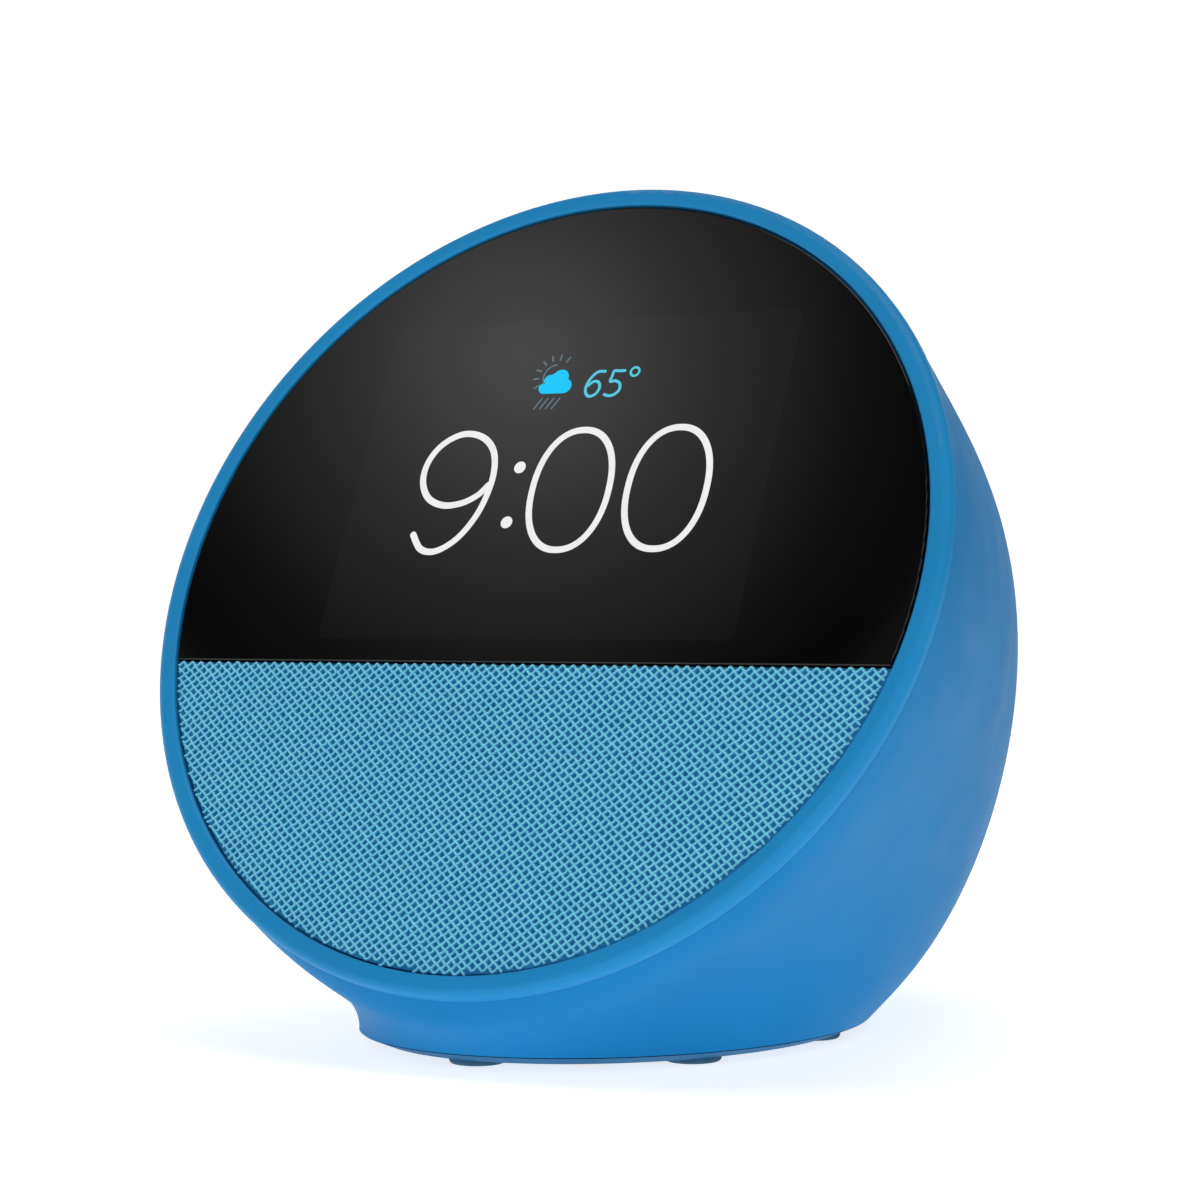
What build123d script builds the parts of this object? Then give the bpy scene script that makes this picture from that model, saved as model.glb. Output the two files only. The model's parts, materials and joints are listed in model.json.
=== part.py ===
from build123d import *
from math import cos, hypot, pi, radians, sin, sqrt
import os

# A bedside smart display with a round, tilted face: a glass screen above a
# fabric speaker grille, in a rounded shell that stands on a small round base.
# Millimetres. X is to the viewer's right, Y points to the rear, Z is up, and the
# origin is under the middle of the object, on the surface that it stands on.

# ---------------------------------------------------------------- driving sizes
rim_radius = 56.5          # outer radius of the round face
face_tilt = 25.7           # the face leans back from the vertical, degrees
base_y = -14.0             # the base stands forward of the middle
base_half_width = 32.0     # lower edge of the shell, an ellipse
base_half_depth = 38.5
face_centre_y = base_y - 21.2
face_centre_z = 60.9
base_edge_z = 1.9          # height of the parting line between shell and base
wall_scale = 0.956         # the cavity is the outside scaled about the middle
body_middle = Vector(0, base_y + 4, 54)

ring_thickness = 2.2       # bezel ring, seen from the side
ring_inner_radius = 53.85
seam_gap = 0.15
lens_radius = 53.55
lens_recess = 0.35
lens_thickness = 1.1
mask_thickness = 0.15
divider_v = -12.4          # the screen ends and the grille starts here
divider_gap = 0.2

lcd_width, lcd_height, lcd_centre_v = 65.0, 49.5, 13.2
view_width, view_height, view_centre_v = 61.0, 46.0, 13.7
panel_thickness = 1.5
backlight_thickness = 2.0

frame_radius = 51.8        # the moulding that everything at the front is fixed to
frame_front, frame_back = -1.65, -4.0
post_spots = [(-38.5, 24), (38.5, 24), (-38.5, -24), (38.5, -24)]
tab_spots = [(-35, 4), (35, 4), (-35, 31), (35, 31)]
board_spots = [(-30, 33), (30, 33), (-30, -3), (30, -3)]

speaker_radius = 20.4
speaker_v = -32.8
speaker_front = -4.6

button_radius = 4.6
button_pitch = 15.0
button_travel = 0.6
button_y = base_y + 29.5    # where the middle button meets the top of the shell
running_gap = 0.3

jack_z = 26.0
jack_face_y = base_y + 60.5
plug_radius = 2.75
foot_radius = 3.6

# ------------------------------------------------------------------ the planes
tilt = radians(face_tilt)
face = Plane(
    origin=(0, face_centre_y, face_centre_z),
    x_dir=(1, 0, 0),
    z_dir=(0, -cos(tilt), sin(tilt)),
)
base = Plane(origin=(0, base_y, 0), x_dir=(1, 0, 0), z_dir=(0, 0, 1))
seam_depth = ring_thickness + seam_gap


def on_face(x, v, depth=0.0):
    """Point at x across the face and v up it, at a height over its front."""
    return face.from_local_coords(Vector(x, v, depth))


# --------------------------------------------------------------- outer form
# The body is lofted through ellipses whose planes open like a fan about one
# line, from the flat base edge (0) to the round edge behind the ring (1).
fan_angle = pi / 2 - tilt
seam_centre = on_face(0, 0, -seam_depth)
hinge_reach = (seam_centre.Z - base_edge_z) / cos(tilt)
hinge = seam_centre - face.y_dir * hinge_reach
shell_rim_radius = rim_radius - 0.05
base_reach = base_y - hinge.Y

section_count = 9


def between(start, end, share):
    return start + (end - start) * share


def bulge(share, early, late):
    """Smooth swelling that is nothing at both ends of the opening."""
    return share * (1 - share) * (early * (1 - share) + late * share)


def body_section(share):
    """Near and far ends and half width of the ellipse at a share of the opening.

    The ends are distances from the hinge line, in the ellipse's own plane.
    """
    near = between(base_reach - base_half_depth, hinge_reach - shell_rim_radius, share)
    far = between(base_reach + base_half_depth, hinge_reach + shell_rim_radius, share)
    half_width = between(base_half_width, shell_rim_radius, share)
    return near - bulge(share, 5, 10), far + bulge(share, 205, 18), half_width + bulge(share, 8, 18)


def body_form(size=1.0):
    """The whole outside of the body as one solid, scaled about its middle."""
    with BuildPart() as form:
        for i in range(section_count):
            share = i / (section_count - 1)
            near, far, half_width = body_section(share)
            angle = share * fan_angle
            centre = hinge + Vector(0, cos(angle), sin(angle)) * ((near + far) / 2)
            centre = body_middle + (centre - body_middle) * size
            half_depth = max((far - near) / 2, half_width + 0.01)
            plane = Plane(origin=centre, x_dir=(1, 0, 0), z_dir=(0, -sin(angle), cos(angle)))
            with BuildSketch(plane):
                Ellipse(half_width * size, half_depth * size)
        loft()
    return form.part


outer_form = body_form()
cavity_form = body_form(wall_scale)
button_top_form = body_form(1.013)

top_hit = max(
    outer_form.find_intersection_points(Axis((0, button_y, 50), (0, 0, 1))),
    key=lambda hit: hit[0].Z,
)
button_plane = Plane(
    origin=top_hit[0],
    x_dir=(1, 0, 0),
    z_dir=(0, top_hit[1].Y, top_hit[1].Z),
)
button_names = ["volume_down_button", "mute_button", "volume_up_button"]
button_xs = [-button_pitch, 0, button_pitch]
button_board_top = -11.4
board_post_spots = [(-24, 0), (24, 0)]
mic_spots = [(-7.5, 9), (7.5, 9)]

os.makedirs("parts", exist_ok=True)


def keep(builder, label):
    """Label a finished piece and write it."""
    builder.part.label = label
    export_step(builder.part, f"parts/{label}.step")


def base_spots(angles, inset):
    """Points round the base at these angles, at a distance inside its edge."""
    return [
        ((base_half_width - inset) * cos(radians(a)), (base_half_depth - inset) * sin(radians(a)))
        for a in angles
    ]


def screws(plane, spots, head_radius, head_height, shank_radius, length, label):
    """Cross-head screws: heads stand on the plane and shanks go down from it."""
    with BuildPart() as group:
        with BuildSketch(plane):
            with Locations(*spots):
                Circle(head_radius)
        extrude(amount=head_height)
        fillet(group.edges().group_by(Axis(plane.origin, plane.z_dir))[-1], head_height * 0.4)
        with BuildSketch(plane):
            with Locations(*spots):
                Circle(shank_radius)
        extrude(amount=-length)
        with BuildSketch(plane.offset(head_height)):
            with Locations(*spots):
                Rectangle(head_radius * 1.1, head_radius * 0.28)
                Rectangle(head_radius * 0.28, head_radius * 1.1)
        extrude(amount=-head_height * 0.6, mode=Mode.SUBTRACT)
    keep(group, label)


# ------------------------------------------------------------------ rear shell
shelf_radius, shelf_depth = 52.0, -1.6    # the glass and the grille lie on this shelf
skirt_radius, skirt_depth = 53.25, -3.8
ring_round = 1.2
base_screw_spots = base_spots([42, 155, 235, 297], 8)
weight_spots = [(-19, 3), (19, 3)]
floor_top_z = 5.0
floor_opening = 15.0
jack_hole_radius = 4.4
jack_pocket_radius = 6.5

jack_plane = Plane(origin=(0, jack_face_y, jack_z), x_dir=(1, 0, 0), z_dir=(0, 1, 0))

with BuildPart() as posts:
    with BuildSketch(face.offset(-6.3)):
        with Locations(*post_spots):
            Circle(3.2)
    extrude(amount=-60)
    with BuildSketch(button_plane.offset(button_board_top)):
        with Locations(*board_post_spots):
            Circle(2.6)
    extrude(amount=12)
    add(outer_form, mode=Mode.INTERSECT)

with BuildPart() as rear_shell:
    add(outer_form)
    add(cavity_form, mode=Mode.SUBTRACT)
    with BuildSketch(face.offset(-seam_depth)):
        Circle(skirt_radius + seam_gap)
    extrude(amount=-4.2, mode=Mode.SUBTRACT)
    # floor of the base, bosses for the base screws and for the weight
    with BuildSketch(base.offset(base_edge_z)):
        Ellipse(base_half_width - 0.6, base_half_depth - 0.6)
    extrude(amount=floor_top_z - base_edge_z)
    with BuildSketch(base):
        Circle(floor_opening)
    extrude(amount=floor_top_z + 1, mode=Mode.SUBTRACT)
    with BuildSketch(base.offset(base_edge_z)):
        with Locations(*base_screw_spots, *weight_spots):
            Circle(2.9)
    extrude(amount=5.4)
    # long posts that carry the front moulding, and two for the button board
    add(posts.part)
    # round mouth of the pocket for the power plug
    with BuildSketch(jack_plane):
        Circle(jack_pocket_radius)
    extrude(amount=20, mode=Mode.SUBTRACT)
    # round holes for the buttons, two pinholes for the microphones
    with BuildSketch(button_plane.offset(-9)):
        with Locations(*[(x, 0) for x in button_xs]):
            Circle(button_radius + running_gap)
    extrude(amount=14, mode=Mode.SUBTRACT)
    with BuildSketch(button_plane.offset(-9)):
        with Locations(*mic_spots):
            Circle(0.6)
    extrude(amount=14, mode=Mode.SUBTRACT)
    # pilot holes for every screw that ends in the shell
    with BuildSketch(face.offset(-6.3)):
        with Locations(*post_spots):
            Circle(1.1)
    extrude(amount=-9, mode=Mode.SUBTRACT)
    with BuildSketch(base.offset(base_edge_z)):
        with Locations(*base_screw_spots, *weight_spots):
            Circle(1.15)
    extrude(amount=5.4, mode=Mode.SUBTRACT)
    with BuildSketch(button_plane.offset(button_board_top)):
        with Locations(*board_post_spots):
            Circle(0.9)
    extrude(amount=5, mode=Mode.SUBTRACT)
keep(rear_shell, "rear_shell")

# ------------------------------------------------------------------ bezel ring
with BuildPart() as bezel_ring:
    with BuildSketch(Plane(origin=face.origin, x_dir=(1, 0, 0), z_dir=-face.y_dir)):
        with BuildLine():
            Polyline(
                (rim_radius - ring_round, 0), (ring_inner_radius + 0.3, 0), (ring_inner_radius, -0.3),
                (ring_inner_radius, shelf_depth), (shelf_radius, shelf_depth),
                (shelf_radius, skirt_depth), (skirt_radius, skirt_depth),
                (skirt_radius, -ring_thickness), (rim_radius, -ring_thickness), (rim_radius, -ring_round),
            )
            JernArc((rim_radius, -ring_round), (0, 1), ring_round, 90)
        make_face()
    revolve(axis=Axis(face.origin, face.z_dir))
keep(bezel_ring, "bezel_ring")

# ---------------------------------------------------------------- glass screen
lens_back = -lens_recess - lens_thickness


def screen_segment(plane, radius, edge_v, above=True):
    """Sketch a disc cut along a level line, keeping the part above or below it."""
    with BuildSketch(plane) as segment:
        Circle(radius)
        with Locations((0, edge_v + (-radius if above else radius))):
            Rectangle(2.2 * radius, 2 * radius, mode=Mode.SUBTRACT)
    return segment.sketch


with BuildPart() as cover_lens:
    add(screen_segment(face.offset(lens_back), lens_radius, divider_v))
    extrude(amount=lens_thickness, dir=face.z_dir)
    fillet(cover_lens.edges().group_by(Axis(face.origin, face.z_dir))[-1], 0.25)
keep(cover_lens, "cover_lens")

with BuildPart() as lens_mask:
    add(screen_segment(face.offset(lens_back - mask_thickness), lens_radius - 0.3, divider_v + 0.3))
    extrude(amount=mask_thickness, dir=face.z_dir)
    with BuildSketch(face.offset(lens_back)):
        with Locations((0, view_centre_v)):
            RectangleRounded(view_width, view_height, 1.0)
    extrude(amount=-mask_thickness, mode=Mode.SUBTRACT)
keep(lens_mask, "lens_mask")

panel_front = frame_front
panel_back = panel_front - panel_thickness
with BuildPart() as lcd_panel:
    with BuildSketch(face.offset(panel_back)):
        with Locations((0, lcd_centre_v)):
            RectangleRounded(lcd_width, lcd_height, 0.8)
    extrude(amount=panel_thickness)
keep(lcd_panel, "lcd_panel")

backlight_back = panel_back - backlight_thickness
with BuildPart() as backlight_unit:
    with BuildSketch(face.offset(backlight_back)):
        with Locations((0, lcd_centre_v)):
            RectangleRounded(lcd_width, lcd_height, 0.8)
    extrude(amount=backlight_thickness)
    with BuildSketch(face.offset(panel_back)):
        with Locations((0, lcd_centre_v)):
            RectangleRounded(view_width, view_height, 0.8)
    extrude(amount=-0.3, mode=Mode.SUBTRACT)
keep(backlight_unit, "backlight_unit")

bracket_back = -6.3
bracket_front = backlight_back - 0.15
standoff_back = -11.0
with BuildPart() as lcd_bracket:
    with BuildSketch(face.offset(bracket_back)):
        with Locations((0, lcd_centre_v)):
            RectangleRounded(lcd_width + 1, lcd_height, 1.0)
        with Locations(*tab_spots):
            RectangleRounded(5, 5, 1.0)
        with Locations((0, lcd_centre_v)):
            SlotOverall(34, 10, mode=Mode.SUBTRACT)
        with Locations(*tab_spots):
            Circle(1.15, mode=Mode.SUBTRACT)
    extrude(amount=bracket_front - bracket_back)
    with BuildSketch(face.offset(bracket_back)):
        with Locations(*board_spots):
            Circle(2.2)
    extrude(amount=standoff_back - bracket_back)
    with BuildSketch(face.offset(standoff_back)):
        with Locations(*board_spots):
            Circle(1.0)
    extrude(amount=4.2, mode=Mode.SUBTRACT)
keep(lcd_bracket, "lcd_bracket")
screws(
    Plane(origin=on_face(0, 0, bracket_back), x_dir=(-1, 0, 0), z_dir=-face.z_dir),
    [(-x, v) for x, v in tab_spots], 1.9, 0.9, 1.0, 3.4, "bracket_screws",
)

# ------------------------------------------------------------- front moulding
with BuildPart() as mid_frame:
    with BuildSketch(face.offset(frame_back)):
        Circle(frame_radius)
    extrude(amount=frame_front - frame_back)
    with BuildSketch(face.offset(frame_back)):
        with Locations(*post_spots):
            Circle(3.6)
    extrude(amount=-2.2)
    with BuildSketch(face.offset(frame_back)):
        with Locations(*tab_spots):
            Circle(2.3)
    extrude(amount=bracket_front - frame_back)
    with BuildSketch(face.offset(frame_front)):
        with Locations((0, lcd_centre_v)):
            RectangleRounded(lcd_width + 0.6, lcd_height + 0.6, 1.0)
        with Locations((0, lcd_centre_v + lcd_height / 2 + 1.5)):
            Rectangle(16, 4)
    extrude(amount=frame_back - frame_front - 0.1, mode=Mode.SUBTRACT)
    with BuildSketch(face.offset(frame_front)):
        with Locations((0, speaker_v)):
            Circle(17.6)
    extrude(amount=frame_back - frame_front, mode=Mode.SUBTRACT)
    with BuildSketch(face.offset(frame_front)):
        with Locations(*post_spots):
            Circle(2.3)
    extrude(amount=-1.1, mode=Mode.SUBTRACT)
    with BuildSketch(face.offset(frame_front)):
        with Locations(*post_spots):
            Circle(1.2)
    extrude(amount=-5, mode=Mode.SUBTRACT)
    with BuildSketch(face.offset(bracket_front)):
        with Locations(*tab_spots):
            Circle(1.05)
    extrude(amount=3.0, mode=Mode.SUBTRACT)
keep(mid_frame, "mid_frame")
screws(face.offset(frame_front - 1.1), post_spots, 2.1, 0.9, 1.05, 11.0, "frame_screws")

# ---------------------------------------------------------- grille and fabric
grille_back = -1.6
grille_front = -0.95
fabric_front = -0.4
hole_pitch = 3.2
hole_radius = 1.05


def grille_holes():
    """Staggered rows of holes that stay clear of the grille's edge."""
    row_step = hole_pitch * sqrt(3) / 2
    spots = []
    for row in range(13):
        v = divider_v - 4.4 - row * row_step
        for column in range(-17, 18):
            x = (column + 0.5 * (row % 2)) * hole_pitch
            if hypot(x, v) < lens_radius - 3.4:
                spots.append((x, v))
    return spots


with BuildPart() as speaker_grille:
    add(screen_segment(face.offset(grille_back), lens_radius, divider_v - divider_gap, above=False))
    extrude(amount=grille_front - grille_back, dir=face.z_dir)
    with BuildSketch(face.offset(grille_front)):
        with Locations(*grille_holes()):
            Circle(hole_radius)
    extrude(amount=grille_back - grille_front, mode=Mode.SUBTRACT)
keep(speaker_grille, "speaker_grille")

with BuildPart() as grille_fabric:
    add(screen_segment(face.offset(grille_front), lens_radius, divider_v - divider_gap, above=False))
    extrude(amount=fabric_front - grille_front, dir=face.z_dir)
keep(grille_fabric, "grille_fabric")

# --------------------------------------------------------------------- speaker
speaker_axis = Axis(on_face(0, speaker_v), face.z_dir)
speaker_section = Plane(origin=on_face(0, speaker_v), x_dir=(1, 0, 0), z_dir=-face.y_dir)
basket_back = -17.0
magnet_back = -27.0


def turned(points, label):
    """A round speaker piece from its half section of radius and depth."""
    with BuildPart() as piece:
        with BuildSketch(speaker_section):
            with BuildLine():
                Polyline(*points, close=True)
            make_face()
        revolve(axis=speaker_axis)
    keep(piece, label)


turned([(17.8, -4.0), (20.2, -4.0), (20.2, -4.6), (17.8, -4.6)], "speaker_gasket")

with BuildPart() as speaker_basket:
    with BuildSketch(speaker_section):
        with BuildLine():
            Polyline(
                (17.8, speaker_front), (speaker_radius, speaker_front), (speaker_radius, -6.2),
                (19.4, -6.2), (15.0, basket_back), (7.8, basket_back), (7.8, -15.8),
                (13.8, -15.8), (17.8, -6.6), close=True,
            )
        make_face()
    revolve(axis=speaker_axis)
    with BuildSketch(Plane(origin=on_face(0, speaker_v, -15.4), x_dir=(1, 0, 0), z_dir=face.z_dir)):
        with PolarLocations(16.5, 6, 30):
            Rectangle(9, 8)
    extrude(amount=7.0, mode=Mode.SUBTRACT)
keep(speaker_basket, "speaker_basket")

turned(
    [(0, magnet_back), (14.5, magnet_back), (14.5, basket_back), (7.2, basket_back),
     (7.2, -25.0), (5.8, -25.0), (5.8, basket_back + 0.8), (0, basket_back + 0.8)],
    "speaker_magnet",
)
turned([(6.2, -21.5), (6.8, -21.5), (6.8, -13.0), (6.2, -13.0)], "voice_coil")
turned([(6.9, -13.6), (14.6, -7.5), (14.6, -6.9), (6.9, -13.0)], "speaker_cone")

with BuildPart() as dust_cap:
    with BuildSketch(speaker_section):
        with BuildLine():
            TangentArc((0, -10.8), (6.7, -12.9), tangent=(1, 0))
            Line((6.7, -12.9), (6.3, -12.9))
            TangentArc((0, -11.2), (6.3, -12.9), tangent=(1, 0))
            Line((0, -11.2), (0, -10.8))
        make_face()
    revolve(axis=speaker_axis)
keep(dust_cap, "dust_cap")

with BuildPart() as speaker_surround:
    with BuildSketch(speaker_section):
        with BuildLine():
            ThreePointArc((14.75, -6.6), (16.2, -5.15), (17.65, -6.6))
            Line((17.65, -6.6), (17.25, -6.6))
            ThreePointArc((17.25, -6.6), (16.2, -5.55), (15.15, -6.6))
            Line((15.15, -6.6), (14.75, -6.6))
        make_face()
    revolve(axis=speaker_axis)
keep(speaker_surround, "speaker_surround")

# ---------------------------------------------------------------- electronics
board_front, board_back = standoff_back - 0.05, -12.25
back_of_board = Plane(origin=on_face(0, 0, board_back), x_dir=(-1, 0, 0), z_dir=-face.z_dir)
connector_height = 2.4
soc_spot, soc_size, soc_height = (10, 14), 14, 1.1
can_spot, can_height = (-24, 20), 2.2


def from_behind(spots):
    """The same points as they are seen from behind the face."""
    return [(-x, v) for x, v in spots]


with BuildPart() as main_board:
    with BuildSketch(face.offset(board_back)):
        with Locations((0, 15)):
            RectangleRounded(66, 42, 2.0)
        with Locations(*board_spots):
            Circle(1.2, mode=Mode.SUBTRACT)
    extrude(amount=board_front - board_back)
keep(main_board, "main_board")
screws(back_of_board.offset(0.05), from_behind(board_spots), 1.9, 0.9, 0.95, 4.6, "board_screws")

with BuildPart() as board_chips:
    with BuildSketch(back_of_board):
        with Locations(soc_spot):
            Rectangle(soc_size, soc_size)
        with Locations((-9, 22), (-9, 9)):
            Rectangle(9, 10)
    extrude(amount=soc_height)
    with BuildSketch(back_of_board):
        with Locations((0, 32.5)):
            Rectangle(15, 3)
        with Locations((24, 0), (-24, 0)):
            Rectangle(8, 5)
        with Locations((18, 34)):
            Rectangle(10, 2.6)
    extrude(amount=connector_height)
keep(board_chips, "board_chips")

with BuildPart() as shield_can:
    with BuildSketch(back_of_board):
        with Locations(can_spot):
            RectangleRounded(14, 20, 0.6)
    extrude(amount=can_height)
    with BuildSketch(back_of_board):
        with Locations(can_spot):
            RectangleRounded(13.4, 19.4, 0.4)
    extrude(amount=can_height - 0.3, mode=Mode.SUBTRACT)
    with BuildSketch(back_of_board.offset(can_height)):
        with Locations(can_spot):
            with GridLocations(3, 3, 3, 5):
                Circle(0.5)
    extrude(amount=-0.5, mode=Mode.SUBTRACT)
keep(shield_can, "shield_can")

pad_thickness = 1.0
with BuildPart() as thermal_pad:
    with BuildSketch(back_of_board.offset(soc_height)):
        with Locations(soc_spot):
            Rectangle(soc_size - 1, soc_size - 1)
    extrude(amount=pad_thickness)
keep(thermal_pad, "thermal_pad")

fin_count, fin_pitch = 7, 4.2
sink_spot = (8, 16)
sink_base = soc_height + pad_thickness
with BuildPart() as heat_sink:
    with BuildSketch(back_of_board.offset(sink_base)):
        with Locations(sink_spot):
            RectangleRounded(29, 23, 1.0)
    extrude(amount=1.6)
    with BuildSketch(back_of_board.offset(sink_base + 1.6)):
        with Locations(sink_spot):
            with GridLocations(fin_pitch, 1, fin_count, 1):
                Rectangle(1.2, 21)
    extrude(amount=6.0)
keep(heat_sink, "heat_sink")


def strip(points, bend, x_low, width):
    """A thin flat cable along a bent path of depths and heights down the face."""
    side_plane = Plane(origin=face.origin + Vector(x_low, 0, 0), x_dir=-face.z_dir, z_dir=(1, 0, 0))
    with BuildPart() as cable:
        with BuildSketch(side_plane):
            with BuildLine() as path:
                FilletPolyline(*points, radius=bend)
            trace(path.line, 0.2)
        extrude(amount=width)
    return cable


# A flat cable leaves the top edge of the panel and folds behind the board.
panel_top = lcd_centre_v + lcd_height / 2
lcd_flex = strip([(2.6, panel_top), (2.6, 40.0), (16.2, 40.0), (16.2, 33.4)], 1.4, -6, 12)
keep(lcd_flex, "lcd_flex")

# ------------------------------------------------------- power inlet at the rear
inlet_body_depth = 12.7
inlet_depth = 9.5
with BuildPart() as inlet_collar:
    with BuildSketch(jack_plane.offset(-3.5)):
        Circle(jack_pocket_radius + 2.2)
    extrude(amount=20)
    add(cavity_form, mode=Mode.INTERSECT)
    with BuildSketch(jack_plane):
        Circle(jack_pocket_radius)
    extrude(amount=20, mode=Mode.SUBTRACT)
    with BuildSketch(jack_plane):
        Circle(jack_hole_radius)
    extrude(amount=-8, mode=Mode.SUBTRACT)
keep(inlet_collar, "inlet_collar")

with BuildPart() as dc_jack:
    with BuildSketch(jack_plane.offset(-3.7)):
        Rectangle(11, 11)
    extrude(amount=3.7 - inlet_body_depth)
    with BuildSketch(jack_plane.offset(-3.7)):
        Circle(jack_hole_radius - 0.15)
    extrude(amount=3.7)
    with BuildSketch(jack_plane):
        Circle(plug_radius)
    extrude(amount=-inlet_depth, mode=Mode.SUBTRACT)
    chamfer(dc_jack.faces().sort_by(Axis.Y)[-1].edges().sort_by(SortBy.RADIUS)[0], 0.35)
keep(dc_jack, "dc_jack")

with BuildPart() as inlet_pin:
    with BuildSketch(jack_plane.offset(-inlet_depth)):
        Circle(0.8)
    extrude(amount=inlet_depth - 1.5)
    fillet(inlet_pin.edges().group_by(Axis.Y)[-1], 0.4)
keep(inlet_pin, "inlet_pin")

with BuildPart() as power_board:
    with BuildSketch(jack_plane.offset(-inlet_body_depth - 1.2)):
        Rectangle(24, 16)
    extrude(amount=1.2)
keep(power_board, "power_board")


def wire(points, radius, bend):
    """A round wire along straight runs joined by arcs."""
    with BuildPart() as piece:
        with BuildLine() as route:
            FilletPolyline(*points, radius=bend)
        with BuildSketch(Plane(origin=route.line @ 0, z_dir=route.line % 0)):
            Circle(radius)
        sweep(path=route.line)
    return piece.part


def wire_pair(starts, vias, plug_x, radius, bend, label):
    """Two wires side by side, from their terminals to a plug on the main board."""
    wires = []
    for side, start, via in zip((-1, 1), starts, vias):
        end = on_face(plug_x + 1.2 * side, 0, board_back - connector_height - 0.05)
        first, last = start[0], end - face.z_dir * 6
        wires.append(wire([first, start[1], via, last, end], radius, bend))
    with BuildPart() as pair:
        for one in wires:
            add(one)
    keep(pair, label)


board_of_inlet = jack_face_y - inlet_body_depth - 1.25
wire_pair(
    [(Vector(x, board_of_inlet, jack_z), Vector(x, board_of_inlet - 7, jack_z)) for x in (4, 8)],
    [Vector(x, base_y + 24.5, jack_z + 14) for x in (20, 24)],
    24, 0.6, 2.5, "power_lead",
)
wire_pair(
    [(on_face(x, speaker_v + 4, magnet_back - 0.05), on_face(x, speaker_v + 4, magnet_back - 5)) for x in (-8, -5)],
    [on_face(x, -12, magnet_back - 3) for x in (-24, -21)],
    -24, 0.5, 1.6, "speaker_lead",
)

# -------------------------------------------------------------- base and feet
foot_spots = base_spots([12, 72, 132, 205, 266, 325], 6.2)
cover_bottom_z = 0.8
cover_top_z = base_edge_z - 0.12
cover_bevel = 2.6
recess = 0.5
with BuildPart() as base_cover:
    with BuildSketch(base.offset(cover_bottom_z)):
        Ellipse(base_half_width - cover_bevel, base_half_depth - cover_bevel)
    with BuildSketch(base.offset(cover_top_z)):
        Ellipse(base_half_width - 0.15, base_half_depth - 0.15)
    loft()
    with BuildSketch(base.offset(cover_top_z)):
        Circle(floor_opening - 0.3)
        Circle(floor_opening - 1.8, mode=Mode.SUBTRACT)
    extrude(amount=2.4)
    with BuildSketch(base.offset(cover_bottom_z)):
        with Locations(*foot_spots):
            Circle(foot_radius + 0.05)
        with Locations(*base_screw_spots):
            Circle(2.5)
    extrude(amount=recess, mode=Mode.SUBTRACT)
    with BuildSketch(base.offset(cover_bottom_z)):
        with Locations(*base_screw_spots):
            Circle(1.25)
    extrude(amount=3, mode=Mode.SUBTRACT)
keep(base_cover, "base_cover")

under_base = Plane(origin=base.origin + Vector(0, 0, cover_bottom_z + recess), x_dir=(1, 0, 0), z_dir=(0, 0, -1))
screws(under_base, [(x, -y) for x, y in base_screw_spots], 2.2, 0.6, 1.1, 5.5, "base_screws")

with BuildPart() as rubber_feet:
    with BuildSketch(base):
        with Locations(*foot_spots):
            Circle(foot_radius)
    extrude(amount=cover_bottom_z + recess)
    fillet(rubber_feet.edges().group_by(Axis.Z)[0], 0.6)
keep(rubber_feet, "rubber_feet")

weight_bottom, weight_height = floor_top_z + 2.8, 6.0
with BuildPart() as base_weight:
    with BuildSketch(base.offset(weight_bottom)):
        Circle(29)
        with Locations((0, -40)):
            Rectangle(80, 72, mode=Mode.SUBTRACT)
        with Locations(*weight_spots):
            Circle(1.3, mode=Mode.SUBTRACT)
    extrude(amount=weight_height)
keep(base_weight, "base_weight")
weight_top = base.offset(weight_bottom + weight_height + 0.02)
screws(weight_top, weight_spots, 2.3, 1.2, 1.1, 10.5, "weight_screws")

# -------------------------------------------------------------------- buttons
board_thickness = 1.1
flange_bottom, flange_thickness, flange_overlap = -8.6, 0.9, 1.2
switch_top = button_board_top + 1.9
plunger_entry = 0.3         # the plunger already stands this far in its switch
plunger_radius = 1.6

for name, x in zip(button_names, button_xs):
    with BuildPart() as cap:
        with BuildSketch(button_plane.offset(flange_bottom)):
            with Locations((x, 0)):
                Circle(button_radius)
        extrude(amount=14)
        add(button_top_form, mode=Mode.INTERSECT)
        fillet(cap.edges().group_by(Axis(button_plane.origin, button_plane.z_dir))[-1], 0.35)
        with BuildSketch(button_plane.offset(flange_bottom)):
            with Locations((x, 0)):
                Circle(button_radius + flange_overlap)
        extrude(amount=flange_thickness)
    keep(cap, name)
    with BuildPart() as plunger:
        with BuildSketch(button_plane.offset(switch_top - plunger_entry)):
            with Locations((x, 0)):
                Circle(plunger_radius)
        extrude(amount=flange_bottom - switch_top + plunger_entry)
    keep(plunger, name.replace("button", "plunger"))

with BuildPart() as button_board:
    with BuildSketch(button_plane.offset(button_board_top - 0.05)):
        SlotOverall(54, 9)
        with Locations((0, 7)):
            Rectangle(24, 9)
        with Locations(*board_post_spots):
            Circle(1.1, mode=Mode.SUBTRACT)
    extrude(amount=-board_thickness)
keep(button_board, "button_board")

with BuildPart() as button_switches:
    with BuildSketch(button_plane.offset(button_board_top - 0.05)):
        with Locations(*[(x, 0) for x in button_xs]):
            RectangleRounded(6, 6, 0.5)
    extrude(amount=switch_top - button_board_top + 0.05)
    with BuildSketch(button_plane.offset(switch_top)):
        with Locations(*[(x, 0) for x in button_xs]):
            Circle(plunger_radius + 0.15)
    extrude(amount=-plunger_entry - button_travel - 0.4, mode=Mode.SUBTRACT)
keep(button_switches, "button_switches")

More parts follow.
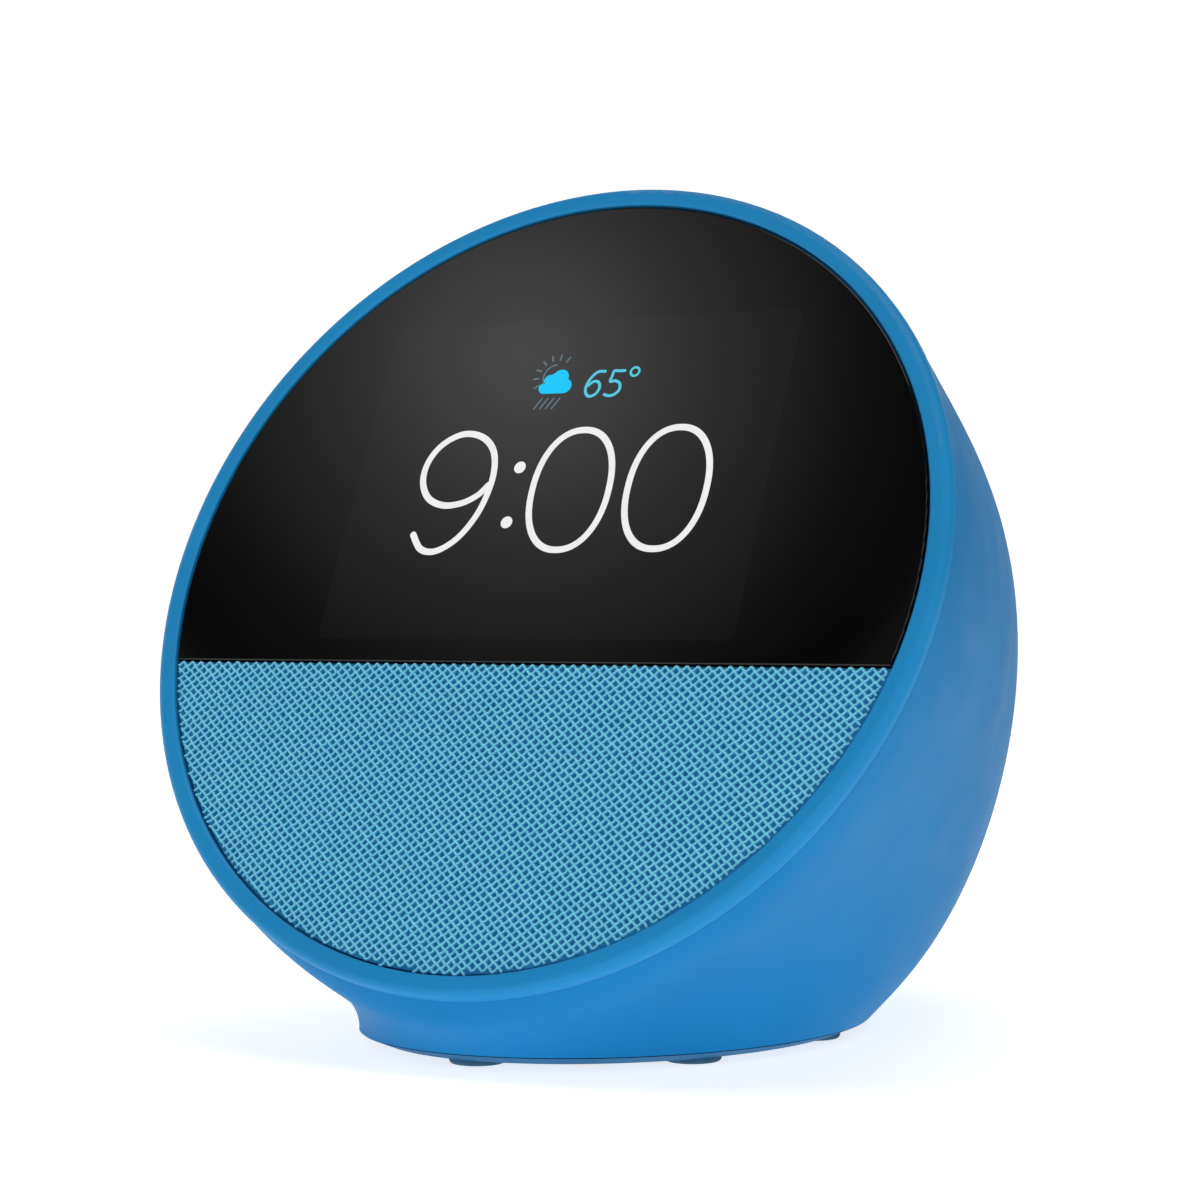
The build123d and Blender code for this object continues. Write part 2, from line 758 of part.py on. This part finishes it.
with BuildPart() as mic_boots:
    with BuildSketch(button_plane.offset(button_board_top - 0.05)):
        with Locations(*mic_spots):
            Circle(1.8)
            Circle(0.6, mode=Mode.SUBTRACT)
    extrude(amount=12)
    add(cavity_form, mode=Mode.INTERSECT)
keep(mic_boots, "mic_boots")

under_board = Plane(
    origin=button_plane.origin + button_plane.z_dir * (button_board_top - 0.1 - board_thickness),
    x_dir=(-1, 0, 0),
    z_dir=-button_plane.z_dir,
)
screws(under_board, board_post_spots, 1.7, 0.8, 0.8, 5.0, "button_board_screws")

# A flat cable from the button board to its connector on the main board.
button_flex = strip([(24.0, 45.2), (19.0, 45.2), (15.6, 40.5), (15.6, 34.0)], 0.5, -22, 8)
keep(button_flex, "button_flex")
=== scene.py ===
import json
import math

import bmesh
import bpy
from mathutils import Matrix, Vector
from mathutils.bvhtree import BVHTree


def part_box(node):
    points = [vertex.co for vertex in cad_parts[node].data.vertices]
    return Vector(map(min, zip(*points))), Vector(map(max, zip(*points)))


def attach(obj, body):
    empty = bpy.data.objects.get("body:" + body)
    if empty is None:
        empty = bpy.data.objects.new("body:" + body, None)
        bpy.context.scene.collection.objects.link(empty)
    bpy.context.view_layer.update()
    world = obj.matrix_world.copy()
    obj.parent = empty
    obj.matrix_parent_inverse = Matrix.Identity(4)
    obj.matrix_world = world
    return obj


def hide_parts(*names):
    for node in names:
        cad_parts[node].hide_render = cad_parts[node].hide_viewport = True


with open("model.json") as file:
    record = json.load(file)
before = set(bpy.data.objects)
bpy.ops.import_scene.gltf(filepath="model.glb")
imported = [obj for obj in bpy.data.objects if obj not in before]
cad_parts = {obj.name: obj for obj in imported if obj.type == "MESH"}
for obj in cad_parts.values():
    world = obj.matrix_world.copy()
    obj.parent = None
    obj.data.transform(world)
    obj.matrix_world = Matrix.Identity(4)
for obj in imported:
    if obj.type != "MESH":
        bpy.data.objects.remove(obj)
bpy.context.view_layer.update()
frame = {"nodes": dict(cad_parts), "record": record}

nodes = frame["nodes"]
scene = bpy.context.scene
MM = 0.001

# ------------------------------------------------------------ frame of the face
# The ring's front lies on a plane that leans back. Depths are in mm over that plane.
face_tilt = math.radians(25.7)
face_normal = Vector((0, -math.cos(face_tilt), math.sin(face_tilt)))
face_up = Vector((0, math.sin(face_tilt), math.cos(face_tilt)))
face_centre = Vector((0, -0.0352, 0.0609))
glass_depth = -0.35
fabric_depth = -0.95
segment_radius = 53.5      # of the opening that the glass and the cloth share
divider_v = -12.6          # height of the line where the glass ends and the cloth begins


def on_face(x, v, depth=0.0):
    """Point of the row frame at x, v and a height over the ring, all in mm."""
    return face_centre + (Vector((x, 0, 0)) + face_up * v + face_normal * depth) * MM


# ----------------------------------------------------------------- node helpers
class Shader:
    """A material with one Principled shader and short calls for its other nodes."""

    def __init__(self, name, **sockets):
        self.material = bpy.data.materials.new(name)
        self.material.use_nodes = True
        self.tree = self.material.node_tree
        self.main = self.tree.nodes["Principled BSDF"]
        self.coords = self.add("ShaderNodeTexCoord").outputs["Object"]
        for socket, value in sockets.items():
            self.set(socket.replace("_", " "), value)

    def set(self, socket, value):
        self.main.inputs[socket].default_value = value

    def add(self, kind, inputs=(), **settings):
        node = self.tree.nodes.new(kind)
        for key, value in settings.items():
            setattr(node, key, value)
        for key, value in dict(inputs).items():
            if isinstance(value, bpy.types.NodeSocket):
                self.tree.links.new(value, node.inputs[key])
            else:
                node.inputs[key].default_value = value
        return node

    def noise(self, size_mm, detail=3.0, roughness=0.5):
        """Noise whose features are about size_mm across."""
        return self.add("ShaderNodeTexNoise", {
            "Vector": self.coords, "Scale": 1000.0 / size_mm, "Detail": detail, "Roughness": roughness,
        }).outputs["Fac"]

    def remap(self, value, low, high, start=0.3, end=0.7):
        """Stretches start to end over low to high."""
        return self.add("ShaderNodeMapRange", {
            "Value": value, "From Min": start, "From Max": end, "To Min": low, "To Max": high,
        }).outputs["Result"]

    def mix(self, factor, first, second):
        """A colour between two colours."""
        node = self.add("ShaderNodeMix", data_type="RGBA")
        for index, value in ((0, factor), (6, first), (7, second)):
            if isinstance(value, bpy.types.NodeSocket):
                self.tree.links.new(value, node.inputs[index])
            elif index:
                node.inputs[index].default_value = (*value, 1)
            else:
                node.inputs[index].default_value = value
        return node.outputs[2]

    def link(self, value, socket):
        self.tree.links.new(value, self.main.inputs[socket])

    def bump(self, *layers):
        """Each layer is a height, how strong it is, and its relief in mm."""
        normal = None
        for height, strength, relief in layers:
            inputs = {"Height": height, "Strength": strength, "Distance": relief * MM}
            if normal:
                inputs["Normal"] = normal
            normal = self.add("ShaderNodeBump", inputs).outputs["Normal"]
        self.link(normal, "Normal")


def moulded_plastic(name, colour, roughness=0.42, grain=0.22, relief=0.006, shift=0.06):
    """Satin moulded plastic: fine spark-eroded grain, faint cloudiness, handling marks."""
    s = Shader(name, Specular_IOR_Level=0.10)
    cloud = s.remap(s.noise(26, 2), 0, 1)
    darker = [c * (1 - shift) for c in colour]
    lighter = [min(1, c * (1 + shift)) for c in colour]
    speck = s.remap(s.noise(0.5, 2), 0.0, 0.35)
    tone = s.mix(cloud, darker, lighter)
    s.link(s.mix(speck, tone, [c * (1 - 0.7 * shift) for c in colour]), "Base Color")
    s.link(s.remap(s.noise(9, 4), roughness - 0.05, roughness + 0.06), "Roughness")
    s.bump((s.noise(grain, 3, 0.65), 0.28, relief), (s.noise(1.1, 2), 0.10, relief * 1.5))
    return s.material


def bare_metal(name, colour, roughness=0.3, metallic=1.0, grain=0.4):
    s = Shader(name, Metallic=metallic)
    s.link(s.mix(s.remap(s.noise(6, 4), 0, 1), [c * 0.82 for c in colour], colour), "Base Color")
    s.link(s.remap(s.noise(1.6, 4), roughness - 0.08, roughness + 0.12), "Roughness")
    s.bump((s.noise(grain, 3), 0.25, 0.01))
    return s.material


def soft_rubber(name, colour):
    s = Shader(name, Specular_IOR_Level=0.3)
    s.link(s.mix(s.remap(s.noise(3, 4), 0, 1), colour, [c * 1.5 + 0.004 for c in colour]), "Base Color")
    s.link(s.remap(s.noise(2, 3), 0.68, 0.86), "Roughness")
    s.bump((s.noise(0.25, 3), 0.5, 0.012))
    return s.material


def black_glass(name):
    """Hard glass with black print behind: almost perfectly smooth, very faint smears."""
    s = Shader(name, Specular_IOR_Level=0.5, IOR=1.5)
    tint = s.mix(s.remap(s.noise(30, 2), 0, 1), (0.0016, 0.0016, 0.0018), (0.0024, 0.0024, 0.0026))
    s.link(tint, "Base Color")
    s.link(s.remap(s.noise(14, 4), 0.045, 0.075), "Roughness")
    s.bump((s.noise(40, 1), 0.02, 0.02))
    return s.material


def lit_ink(name, colour, strength):
    """Light from the display, a little uneven from one spot to the next."""
    s = Shader(name, Roughness=0.25, Specular_IOR_Level=0.3)
    glow = s.mix(s.remap(s.noise(1.2, 2), 0, 1), [c * 0.93 for c in colour], colour)
    s.set("Base Color", (0.01, 0.01, 0.01, 1))
    s.link(glow, "Emission Color")
    s.set("Emission Strength", strength)
    return s.material


def knitted_thread(name, light, dark):
    """Twisted yarn: fine filaments and small changes of shade along the thread."""
    s = Shader(name, Specular_IOR_Level=0.25, Sheen_Weight=0.35, Sheen_Roughness=0.45)
    s.set("Sheen Tint", (0.75, 0.9, 1.0, 1))
    shade = s.mix(s.remap(s.noise(1.3, 3), 0, 1), dark, light)
    patch = s.remap(s.noise(0.18, 2), 0.0, 0.4)
    s.link(s.mix(patch, shade, [c * 0.7 for c in dark]), "Base Color")
    s.link(s.remap(s.noise(0.5, 3), 0.55, 0.8), "Roughness")
    s.bump((s.noise(0.09, 2), 0.6, 0.02))
    return s.material


# -------------------------------------------------------------------- materials
blue = (0.008, 0.226, 0.540)
shell_mat = moulded_plastic("shell_satin", blue, 0.54)
ring_mat = moulded_plastic("ring_satin", (0.018, 0.282, 0.620), 0.40, grain=0.18, relief=0.004)
base_mat = moulded_plastic("base_satin", (0.014, 0.150, 0.330), 0.58)
button_mat = moulded_plastic("button_satin", (0.012, 0.240, 0.560), 0.44, grain=0.18)
dark_mat = moulded_plastic("dark_plastic", (0.014, 0.014, 0.016), 0.5)
grille_mat = moulded_plastic("grille_plastic", (0.004, 0.062, 0.190), 0.6)
glass_mat = black_glass("black_glass")
rubber_mat = soft_rubber("soft_rubber", (0.020, 0.085, 0.150))
foam_mat = soft_rubber("foam", (0.03, 0.03, 0.03))
steel_mat = bare_metal("plated_steel", (0.58, 0.58, 0.60))
screw_mat = bare_metal("screw_steel", (0.20, 0.20, 0.21), 0.36)
iron_mat = bare_metal("cast_iron", (0.06, 0.06, 0.065), 0.6, 0.7, 0.8)
alloy_mat = bare_metal("extruded_alloy", (0.70, 0.70, 0.72), 0.34)
board_mat = moulded_plastic("solder_resist", (0.006, 0.075, 0.030), 0.3)
chip_mat = moulded_plastic("chip_package", (0.02, 0.02, 0.02), 0.5)
diffuser_mat = moulded_plastic("white_diffuser", (0.75, 0.75, 0.75), 0.5)
paper_mat = moulded_plastic("coated_paper", (0.03, 0.03, 0.032), 0.7, grain=0.6, relief=0.02)
copper_mat = bare_metal("copper", (0.75, 0.32, 0.14), 0.3)
film_mat = moulded_plastic("amber_film", (0.45, 0.19, 0.03), 0.35)
sleeve_mat = soft_rubber("wire_sleeve", (0.20, 0.012, 0.012))
pin_mat = bare_metal("nickel_pin", (0.78, 0.76, 0.72), 0.2)
light_thread = knitted_thread("light_thread", (0.290, 0.900, 1.000), (0.200, 0.800, 1.000))
mid_thread = knitted_thread("mid_thread", (0.110, 0.550, 0.950), (0.065, 0.440, 0.820))
ground_mat = knitted_thread("ground_cloth", (0.022, 0.330, 0.680), (0.010, 0.220, 0.520))
white_ink = lit_ink("white_light", (1.0, 1.0, 1.0), 0.88)
cyan_ink = lit_ink("cyan_light", (0.0, 0.58, 1.0), 1.0)
pale_cyan_ink = lit_ink("pale_cyan_light", (0.09, 0.62, 0.80), 0.95)
faint_ink = lit_ink("faint_cyan_light", (0.13, 0.21, 0.25), 0.9)
symbol_mat = moulded_plastic("symbol_print", (0.50, 0.68, 0.80), 0.5)

slot_materials = {
    "shell_plastic": shell_mat, "ring_plastic": ring_mat, "base_plastic": base_mat,
    "button_plastic": button_mat, "cover_glass": glass_mat, "mask_ink": glass_mat,
    "display": glass_mat, "backlight": diffuser_mat, "speaker_fabric": ground_mat,
    "dark_plastic": dark_mat, "grille_plastic": grille_mat, "steel": steel_mat,
    "screw_steel": screw_mat, "cast_weight": iron_mat, "heat_sink_alloy": alloy_mat,
    "circuit_board": board_mat, "chip_plastic": chip_mat, "rubber": rubber_mat,
    "foam": foam_mat, "cone_paper": paper_mat, "magnet_metal": steel_mat,
    "copper_coil": copper_mat, "flex_film": film_mat, "wire_sleeve": sleeve_mat,
    "pin_metal": pin_mat,
}
for part in frame["record"]["subparts"]:
    node = nodes[part["node"]]
    if not node.material_slots:
        node.data.materials.append(None)
    for slot in node.material_slots:
        slot.material = slot_materials[part["material_slot"]]


# -------------------------------------------------------------- building pieces
def piece(name, vertices, faces, material, body, slot, smooth=True):
    """A mesh piece that rides on a body."""
    mesh = bpy.data.meshes.new(name)
    mesh.from_pydata([tuple(v) for v in vertices], [], faces)
    mesh.materials.append(material)
    mesh.update()
    if smooth:
        mesh.polygons.foreach_set("use_smooth", [True] * len(mesh.polygons))
    made = bpy.data.objects.new(name, mesh)
    scene.collection.objects.link(made)
    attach(made, body)
    return made


def catmull(points, steps=10):
    """A smooth open line through the points."""
    count = len(points)
    line = []
    for i in range(count - 1):
        p0, p1, p2, p3 = (Vector(points[min(max(i + k, 0), count - 1)]) for k in (-1, 0, 1, 2))
        for step in range(steps):
            t = step / steps
            line.append(0.5 * ((2 * p1) + (p2 - p0) * t + (2 * p0 - 5 * p1 + 4 * p2 - p3) * t * t
                               + (3 * p1 - p0 - 3 * p2 + p3) * t ** 3))
    line.append(Vector(points[-1]))
    return line


def ellipse(cx, cy, rx, ry, power=2.0, count=72, start=0, end=360):
    """Points round an ellipse in degrees, or a squarer curve when power is above 2."""
    first, last = math.radians(start), math.radians(end)
    steps = count if end - start == 360 else count - 1
    spots = []
    for i in range(count):
        a = first + (last - first) * i / steps
        x = math.copysign(abs(math.cos(a)) ** (2 / power), math.cos(a)) * rx
        y = math.copysign(abs(math.sin(a)) ** (2 / power), math.sin(a)) * ry
        spots.append(Vector((cx + x, cy + y)))
    return spots


def ribbon(line, width, closed=False):
    """Flat band along a line, with round ends if it is open: its points and faces."""
    count = len(line)
    verts, faces = [], []
    for i, p in enumerate(line):
        if closed:
            along = line[(i + 1) % count] - line[i - 1]
        else:
            along = line[min(i + 1, count - 1)] - line[max(i - 1, 0)]
        side = Vector((-along.y, along.x)).normalized() * width / 2
        verts += [p + side, p - side]
    for i in range(count if closed else count - 1):
        j = (i + 1) % count
        faces.append((2 * i, 2 * i + 1, 2 * j + 1, 2 * j))
    if not closed:
        for end, along in ((0, line[0] - line[1]), (count - 1, line[-1] - line[-2])):
            along = along.normalized()
            side = Vector((-along.y, along.x))
            cap = []
            for k in range(9):
                a = math.pi * k / 8
                cap.append(line[end] + (side * math.cos(a) + along * math.sin(a)) * width / 2)
            start = len(verts)
            verts += cap
            faces.append(tuple(range(start, start + len(cap))))
    return verts, faces


def fan(outline):
    """A filled shape from its outline."""
    return list(outline), [tuple(range(len(outline)))]


def flat_shapes(name, shapes, place, outward, material, body, slot):
    """One piece from flat shapes, each point put in its place, that faces outward."""
    verts, faces = [], []
    for shape_verts, shape_faces in shapes:
        start = len(verts)
        verts += [place(v) for v in shape_verts]
        faces += [tuple(start + i for i in f) for f in shape_faces]
    made = piece(name, verts, faces, material, body, slot, smooth=False)
    bm = bmesh.new()
    bm.from_mesh(made.data)
    bmesh.ops.recalc_face_normals(bm, faces=bm.faces)
    for f in bm.faces:
        if f.normal.dot(outward) < 0:
            f.normal_flip()
    bm.to_mesh(made.data)
    bm.free()


def graphic(name, shapes, material, depth):
    """Lit shapes that stand just over the glass."""
    flat_shapes(name, shapes, lambda v: on_face(v.x, v.y, depth), face_normal, material, "body", "display")


# ------------------------------------------------------------- display graphics
ink_depth = glass_depth + 0.03
digit_stroke = 0.92
digit_middle = 11.75
zero_lines = [ellipse(x, digit_middle, 5.67, 8.55, power=2.2) for x in (2.45, 16.5)]
zeros = [ribbon(line, digit_stroke, closed=True) for line in zero_lines]
nine = catmull([
    (-10.1, 12.6), (-11.3, 11.2), (-13.4, 10.1), (-16.2, 9.8), (-18.8, 10.9), (-20.3, 13.4), (-20.2, 16.3),
    (-18.6, 18.8), (-15.8, 20.2), (-12.8, 19.7), (-10.6, 17.7), (-9.7, 14.6), (-9.9, 11.2),
    (-10.9, 7.9), (-12.9, 4.9), (-15.6, 3.2), (-18.0, 3.5), (-19.7, 5.6),
])
dots = [fan(ellipse(-5.9, v, 0.85, 0.85, count=28)) for v in (15.1, 7.2)]
graphic("clock_digits", [*zeros, ribbon(nine, digit_stroke), *dots], white_ink, ink_depth)

cloud_outline = []
for cx, cy, r, start, end in ((-5.05, 26.75, 0.95, 160, 272), (-2.15, 26.85, 1.05, 268, 430),
                              (-3.05, 28.05, 1.25, 20, 140), (-4.6, 27.75, 0.85, 80, 200)):
    cloud_outline += ellipse(cx, cy, r, r, count=14, start=start, end=end)
graphic("weather_cloud", [fan(cloud_outline)], cyan_ink, ink_depth)

sun = Vector((-3.9, 28.3))
weather_strokes = [ribbon(ellipse(sun.x, sun.y, 1.75, 1.75, count=16, start=95, end=215), 0.22)]
for degrees in (60, 85, 110, 135, 160, 185, 210):
    ray = Vector((math.cos(math.radians(degrees)), math.sin(math.radians(degrees))))
    weather_strokes.append(ribbon([sun + ray * reach for reach in (2.45, 2.8, 3.2)], 0.24))
for x in (-5.1, -4.2, -3.3, -2.4):
    weather_strokes.append(ribbon([Vector((x, 25.1)) + Vector((-0.45, -0.75)) * k for k in range(3)], 0.22))
graphic("weather_lines", weather_strokes, faint_ink, ink_depth + 0.002)

six = catmull([
    (3.5, 28.8), (2.45, 28.75), (1.6, 27.9), (1.15, 26.75), (1.3, 25.75), (1.95, 25.2), (2.85, 25.55),
    (3.2, 26.45), (2.85, 27.25), (2.1, 27.35), (1.4, 26.75),
])
five = catmull([
    (6.4, 28.8), (5.6, 28.8), (4.85, 28.8), (4.7, 28.05), (4.6, 27.3), (5.35, 27.35), (6.1, 26.9),
    (6.2, 26.0), (5.6, 25.35), (4.8, 25.2), (4.15, 25.4),
], steps=8)
degree = ellipse(7.95, 28.6, 0.62, 0.62, count=30)
graphic("temperature", [ribbon(six, 0.42), ribbon(five, 0.42), ribbon(degree, 0.34, closed=True)],
        pale_cyan_ink, ink_depth)

# The lit area of the display shows as a barely lighter rectangle under the glass.
window = Shader("display_glow", Specular_IOR_Level=0.5, IOR=1.5)
window_cloud = window.remap(window.noise(18, 2), 0, 1)
window.link(window.mix(window_cloud, (0.0040, 0.0042, 0.0048), (0.0052, 0.0054, 0.0060)), "Base Color")
window.link(window.remap(window.noise(14, 4), 0.05, 0.08), "Roughness")
corner, half_w, half_h, centre_v = 1.2, 30.5, 23.0, 13.7
window_outline = []
for sx, sy, turn in ((1, 1, 0), (-1, 1, 90), (-1, -1, 180), (1, -1, 270)):
    cx, cy = sx * (half_w - corner), centre_v + sy * (half_h - corner)
    window_outline += ellipse(cx, cy, corner, corner, count=8, start=turn, end=turn + 90)
graphic("display_area", [fan(window_outline)], window.material, glass_depth + 0.012)


# ----------------------------------------------------------------------- fabric
# A ground cloth lies on the grille. Lighter threads run over it as a staggered net.
thread_pitch, row_step = 1.46, 0.61
wave_height = 0.5 * row_step - 0.03
steps_per_wave = 8
ground_lift, ground_dip = 0.10, 0.05


def half_chord(v, radius=segment_radius):
    """Half the width of the round opening at height v."""
    return math.sqrt(max(radius * radius - v * v, 0.0))


def fabric_ground():
    """Thin cloth, cut to the segment, that dips between the threads."""
    rows, columns = 120, 220
    verts, faces = [], []
    low, high = -segment_radius + 0.05, divider_v
    for j in range(rows + 1):
        share = j / rows
        v = low + (high - low) * (1 - (1 - share) ** 1.35)
        wide = half_chord(v)
        for i in range(columns + 1):
            x = wide * (2 * i / columns - 1)
            dip = ground_dip * math.cos(2 * math.pi * x / thread_pitch) * math.cos(math.pi * v / row_step)
            verts.append(on_face(x, v, fabric_depth + ground_lift + dip))
    for j in range(rows):
        for i in range(columns):
            a = j * (columns + 1) + i
            faces.append((a, a + 1, a + columns + 2, a + columns + 1))
    return verts, faces


def net_threads(half_width, half_height, height, sides):
    """Waving threads in level rows, half a wave apart from their neighbours, so that they meet.

    Each row wanders a little.
    """
    verts, faces = [], []
    for row in range(int((segment_radius + divider_v) / row_step)):
        v_mid = divider_v - 0.36 - row * row_step
        wide = half_chord(v_mid, segment_radius - 0.15)
        if wide < 2:
            continue
        count = int(2 * wide / thread_pitch * steps_per_wave)
        phase = math.pi * (row % 2) + 0.22 * math.sin(row * 2.4)
        start = len(verts)
        for i in range(count + 1):
            x = -wide + 2 * wide * i / count
            swing = 2 * math.pi * x / thread_pitch + phase + 0.30 * math.sin(x * 0.37 + row * 1.3)
            wander = 0.035 * math.sin(x * 1.9 + row * 4.1) + 0.03 * math.sin(x * 0.83 + row * 2.7)
            v = v_mid + wander + wave_height * math.cos(swing)
            lift = fabric_depth + height + 0.06 * math.cos(2 * swing) + 0.03 * math.sin(swing + row)
            slope = -wave_height * 2 * math.pi / thread_pitch * math.sin(swing)
            across = Vector((-slope, 1)).normalized()
            for k in range(sides):
                a = 2 * math.pi * k / sides
                offset = across * (math.cos(a) * half_width)
                verts.append(on_face(x + offset.x, v + offset.y, lift + math.sin(a) * half_height))
        for i in range(count):
            for k in range(sides):
                a = start + i * sides + k
                b = start + i * sides + (k + 1) % sides
                faces.append((a, b, b + sides, a + sides))
    return verts, faces


thread_mesh = net_threads(half_width=0.215, half_height=0.10, height=0.30, sides=6)
strand_mesh = net_threads(half_width=0.11, half_height=0.07, height=0.42, sides=4)
net = piece("fabric_threads", *thread_mesh, mid_thread, "body", "speaker_fabric")
strands = piece("fabric_filaments", *strand_mesh, light_thread, "body", "speaker_fabric")
ground = piece("fabric_ground", *fabric_ground(), ground_mat, "body", "speaker_fabric")
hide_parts("grille_fabric")

# ---------------------------------------------------------------- button symbols
button_normal = Vector((0, 0.456338, 0.889807))
button_up = Vector((0, 0.889807, -0.456338))
ray_height, print_thickness = 30, 0.03


def printed_symbol(name, node_name, body, shapes):
    """Thin print that follows the curved top of a button."""
    mesh = nodes[node_name].data
    tree = BVHTree.FromPolygons([v.co for v in mesh.vertices], [tuple(p.vertices) for p in mesh.polygons])
    low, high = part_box(node_name)
    start = (low + high) / 2 + button_normal * ray_height * MM

    def on_cap(v):
        above = start + (Vector((v.x, 0, 0)) + button_up * v.y) * MM
        return tree.ray_cast(above, -button_normal)[0] + button_normal * print_thickness * MM

    flat_shapes(name, shapes, on_cap, button_normal, symbol_mat, body, "button_plastic")


def bar(x0, y0, x1, y1, width=0.42, count=9):
    """A straight band cut into short lengths, so that it can follow a curve."""
    a, b = Vector((x0, y0)), Vector((x1, y1))
    return ribbon([a.lerp(b, i / (count - 1)) for i in range(count)], width)


printed_symbol("minus_symbol", "volume_down_button", "volume_down", [bar(-1.6, 0, 1.6, 0)])
printed_symbol("plus_symbol", "volume_up_button", "volume_up", [bar(-1.6, 0, 1.6, 0), bar(0, -1.6, 0, 1.6)])
mute_ring = ribbon(ellipse(0, 0, 1.8, 1.8, count=48), 0.38, closed=True)
mute_stroke = bar(-1.27, 1.27, 1.27, -1.27, 0.38)
printed_symbol("mute_symbol", "mute_button", "mute", [mute_ring, mute_stroke])

# ------------------------------------------------------------------ stage, light
floor_mesh = bpy.data.meshes.new("studio_floor")
floor_half_width, floor_front, sweep_start, sweep_radius, wall_top = 0.95, -1.6, 1.1, 0.5, 2.4
sweep_line = [(floor_front, 0.0)]
for degrees in range(0, 91, 6):
    a = math.radians(degrees)
    sweep_line.append((sweep_start + sweep_radius * math.sin(a), sweep_radius - sweep_radius * math.cos(a)))
sweep_line.append((sweep_start + sweep_radius, wall_top))
floor_verts = [(x, y, z) for y, z in sweep_line for x in (-floor_half_width, floor_half_width)]
floor_faces = [(2 * i, 2 * i + 1, 2 * i + 3, 2 * i + 2) for i in range(len(sweep_line) - 1)]
floor_mesh.from_pydata(floor_verts, [], floor_faces)
floor_mesh.polygons.foreach_set("use_smooth", [True] * len(floor_mesh.polygons))
floor = bpy.data.objects.new("studio_floor", floor_mesh)
scene.collection.objects.link(floor)
paper = Shader("pale_paper", Roughness=0.9, Specular_IOR_Level=0.1)
paper_cloud = paper.remap(paper.noise(60, 2), 0, 1)
paper.link(paper.mix(paper_cloud, (0.60, 0.60, 0.60), (0.63, 0.63, 0.63)), "Base Color")
paper.set("Emission Color", (1, 1, 1, 1))
paper.set("Emission Strength", 0.74)
floor_mesh.materials.append(paper.material)
floor.rotation_euler = (0, 0, math.radians(29.8))

# The world lights the scene only a little, and the camera sees it as white.
world = bpy.data.worlds.new("studio")
scene.world = world
world.use_nodes = True
background = world.node_tree.nodes["Background"]
background.inputs["Color"].default_value = (1, 1, 1, 1)
path = world.node_tree.nodes.new("ShaderNodeLightPath")
level = world.node_tree.nodes.new("ShaderNodeMapRange")
level.inputs["To Min"].default_value = 0.10
level.inputs["To Max"].default_value = 1.0
world.node_tree.links.new(path.outputs["Is Camera Ray"], level.inputs["Value"])
world.node_tree.links.new(level.outputs["Result"], background.inputs["Strength"])
scene.view_settings.view_transform = "Standard"

aim = Vector((0, 0, 0.06))


def soft_light(name, direction, distance, size, power):
    """A round area light that points at the middle of the object."""
    light = bpy.data.lights.new(name, "AREA")
    light.shape = "DISK"
    light.size = size
    light.energy = power
    lamp = bpy.data.objects.new(name, light)
    way = Vector(direction).normalized()
    lamp.location = aim + way * distance
    lamp.rotation_euler = way.to_track_quat("Z", "Y").to_euler()
    scene.collection.objects.link(lamp)


soft_light("front", (0.30, -0.95, 0.16), 1.3, 0.9, 4.0)
soft_light("side", (0.95, -0.35, 0.75), 1.2, 0.9, 2.3)
soft_light("top", (0.05, 0.05, 1.0), 1.2, 0.8, 4.6)
soft_light("left", (-0.95, 0.05, 0.30), 1.2, 0.8, 2.4)

# A dim card, brightest at its middle, gives the glass its soft sheen.
card_way = Vector((-0.505, -0.49, 0.71)).normalized()
card_radius = 0.185
card_mesh = bpy.data.meshes.new("sheen_card")
card_edge = ellipse(0, 0, card_radius, card_radius, count=48)
card_mesh.from_pydata([(p.x, p.y, 0) for p in card_edge], [], [tuple(range(len(card_edge)))])
card = bpy.data.objects.new("sheen_card", card_mesh)
card.location = aim + card_way
card.rotation_euler = card_way.to_track_quat("Z", "Y").to_euler()
scene.collection.objects.link(card)
glow = Shader("card_glow", Roughness=1.0)
spread = glow.add("ShaderNodeMapping", {"Vector": glow.coords, "Scale": (1 / card_radius,) * 3})
falloff = glow.add("ShaderNodeTexGradient", {"Vector": spread.outputs["Vector"]},
                   gradient_type="QUADRATIC_SPHERE").outputs["Fac"]
glow.set("Base Color", (0, 0, 0, 1))
glow.set("Emission Color", (1, 1, 1, 1))
glow.link(glow.remap(falloff, 0.0, 1.45, 0.0, 1.0), "Emission Strength")
card_mesh.materials.append(glow.material)

# ----------------------------------------------------------------------- camera
cam_data = bpy.data.cameras.new("camera")
cam_data.sensor_width = 36
cam_data.lens = 102
cam = bpy.data.objects.new("camera", cam_data)
right = Vector((0.8674348, 0.49750413, -0.00681909))
up = Vector((0.00139603, 0.01127164, 0.9999355))
back = right.cross(up)
cam.matrix_world = Matrix((
    (right.x, up.x, back.x, 0.221416),
    (right.y, up.y, back.y, face_centre.y - 0.368914),
    (right.z, up.z, back.z, 0.061166),
    (0, 0, 0, 1),
))
scene.collection.objects.link(cam)
scene.camera = cam
